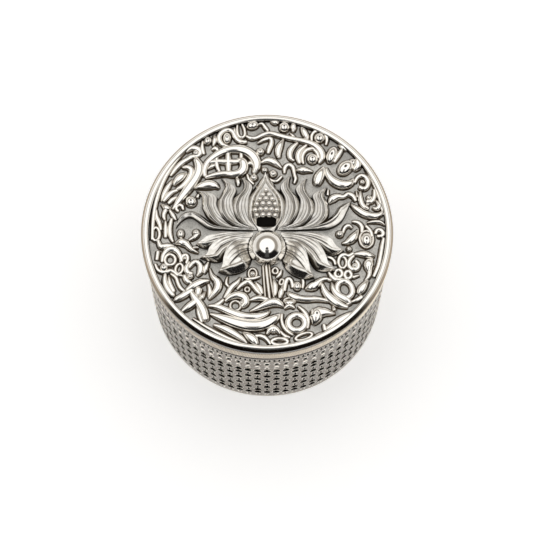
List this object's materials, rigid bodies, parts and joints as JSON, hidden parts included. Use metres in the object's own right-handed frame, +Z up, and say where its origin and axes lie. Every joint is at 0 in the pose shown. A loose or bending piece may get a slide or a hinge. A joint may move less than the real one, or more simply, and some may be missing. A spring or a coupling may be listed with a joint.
{
  "type": "keepsake box",
  "caption": "Round silver box for keepsakes: a pierced drum round a plain liner, and a lift-off lid with a raised lotus and scrolling leaves.",
  "frame": {"origin": "centre of the underside of the foot", "axes": "+Z up, the way the lid lifts; -Y is the side that the lotus's stem points to; +X to the right seen from there"},
  "size_m": [0.072, 0.072, 0.058],
  "materials": {
    "plain_silver": "plain silver, satin from handling",
    "pierced_silver": "pierced and chased silver, dark in its openings",
    "liner_silver": "tarnished silver sheet behind the openwork",
    "punched_silver": "silver with rows of punched dots",
    "stippled_silver": "matt stippled ground",
    "milled_silver": "milled strip, toned brown in its grooves",
    "polished_silver": "polished silver",
    "petal_silver": "polished silver with fine chased ribs"
  },
  "bodies": {
    "box": {"foot_ring": "plain_silver", "base_plate": "plain_silver", "body_wall": "pierced_silver", "body_liner": "liner_silver"},
    "lid": {"lid_skirt": "punched_silver", "lid_plate": "stippled_silver", "rim_band": "milled_silver", "rim_bead": "polished_silver", "centre_petal": "petal_silver", "upper_petal_left_1": "petal_silver", "upper_petal_left_2": "petal_silver", "upper_petal_left_3": "petal_silver", "upper_petal_right_1": "petal_silver", "upper_petal_right_2": "petal_silver", "upper_petal_right_3": "petal_silver", "side_petal_left": "petal_silver", "side_petal_right": "petal_silver", "lower_petal_left_1": "petal_silver", "lower_petal_left_2": "petal_silver", "lower_petal_left_3": "petal_silver", "lower_petal_right_1": "petal_silver", "lower_petal_right_2": "petal_silver", "lower_petal_right_3": "petal_silver", "seed_pod": "petal_silver", "lotus_boss": "polished_silver", "lotus_stem": "petal_silver"}
  },
  "joints": [
    {"name": "lid_lift", "type": "slide", "parent": "box", "child": "lid", "axis": [0, 0, 1], "range_m": [0, 0.03]}
  ]
}
